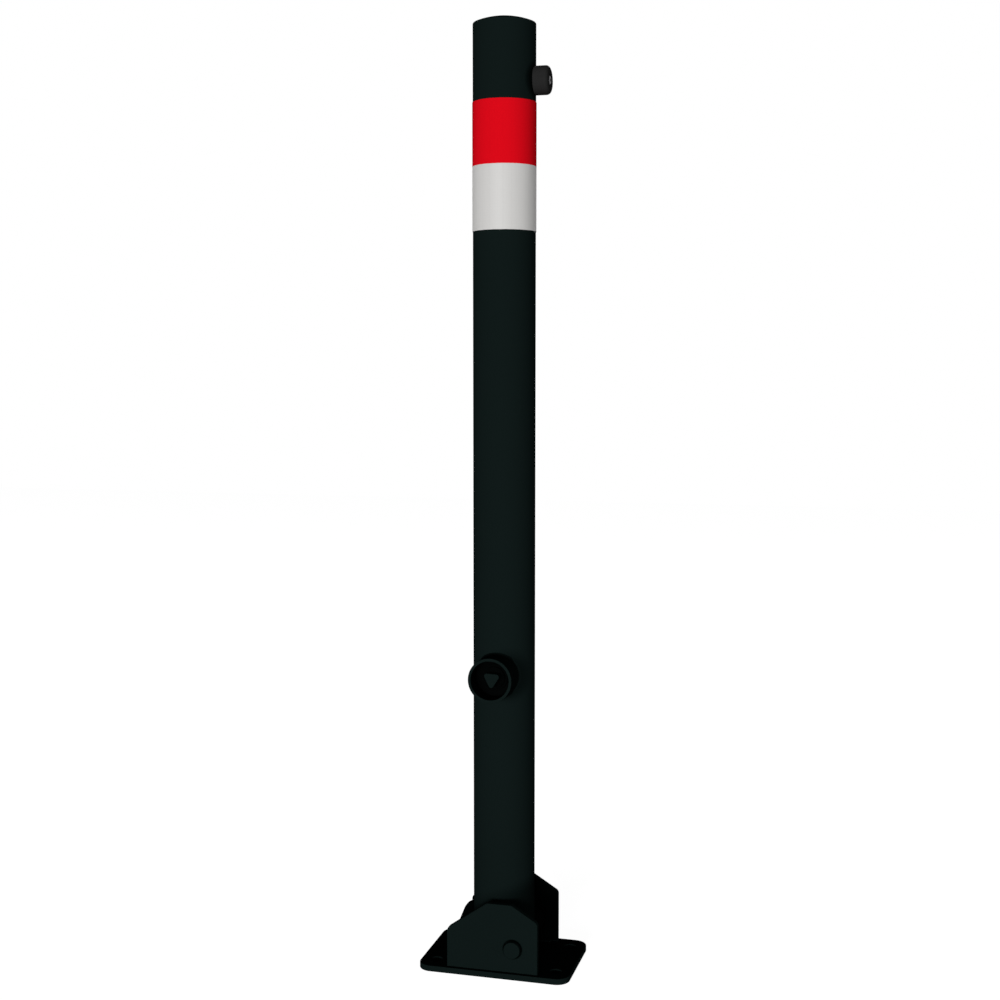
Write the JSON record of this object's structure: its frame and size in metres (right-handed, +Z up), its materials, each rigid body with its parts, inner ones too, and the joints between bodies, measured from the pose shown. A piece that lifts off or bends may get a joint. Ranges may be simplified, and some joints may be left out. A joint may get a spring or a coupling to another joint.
{
  "type": "fold-down bollard",
  "caption": "Round steel parking post that folds flat about a pin between cheeks on a bolted base plate, with a key-worked locking rod, a rubber buffer and red and white bands.",
  "frame": {"origin": "centre of the four anchor holes on the base plate's underside, on the axis of the upright post", "axes": "+Z up along the upright post, +X the way the post folds down, -Y towards the key cup"},
  "size_m": [0.15, 0.105, 0.9132],
  "materials": {
    "black_paint": "fine-textured satin powder coat, very dark green black",
    "red_film": "glossy reflective film",
    "white_film": "glossy reflective film",
    "black_rubber": "moulded matt rubber",
    "zinc_steel": "zinc plated",
    "bare_steel": "bright turned or rolled steel, oiled",
    "blackened_steel": "blackened steel"
  },
  "bodies": {
    "base": {"base_plate": "black_paint", "front_cheek": "black_paint", "rear_cheek": "black_paint", "stop_rib": "black_paint", "hinge_pin": "black_paint", "hinge_washers": "blackened_steel"},
    "post": {"post_tube": "black_paint", "top_cap": "black_paint", "hinge_sleeve": "blackened_steel", "lower_guide": "bare_steel", "upper_guide": "bare_steel", "lock_cup": "black_paint", "spindle_bush": "blackened_steel", "bush_nut": "zinc_steel", "buffer": "black_rubber", "buffer_screw": "blackened_steel", "buffer_washer": "zinc_steel", "buffer_nut": "zinc_steel", "red_band": "red_film", "white_band": "white_film"},
    "key_spindle": {"lock_spindle": "blackened_steel", "spindle_ring": "zinc_steel", "crank_disc": "bare_steel", "crank_pin": "bare_steel", "crank_screw": "zinc_steel"},
    "rod": {"locking_rod": "zinc_steel", "yoke": "bare_steel", "yoke_pin": "zinc_steel", "rod_collar": "bare_steel", "collar_pin": "zinc_steel", "locking_spring": "bare_steel"}
  },
  "joints": [
    {"name": "post_fold", "type": "hinge", "parent": "base", "child": "post", "pos_m": [0.0206, 0, 0.0293], "axis": [0, 1, 0], "range_deg": [0, 90.3]},
    {"name": "key_turn", "type": "hinge", "parent": "post", "child": "key_spindle", "pos_m": [0, -0.03, 0.291], "axis": [0, -1, 0], "range_deg": [0, 90]},
    {"name": "rod_slide", "type": "slide", "parent": "post", "child": "rod", "axis": [0, 0, -1], "range_m": [0, 0.00848], "deforming": ["locking_spring"]}
  ],
  "couplings": [
    {"joint": "key_turn", "follows": "rod_slide", "rad_per_m": 185.2}
  ]
}
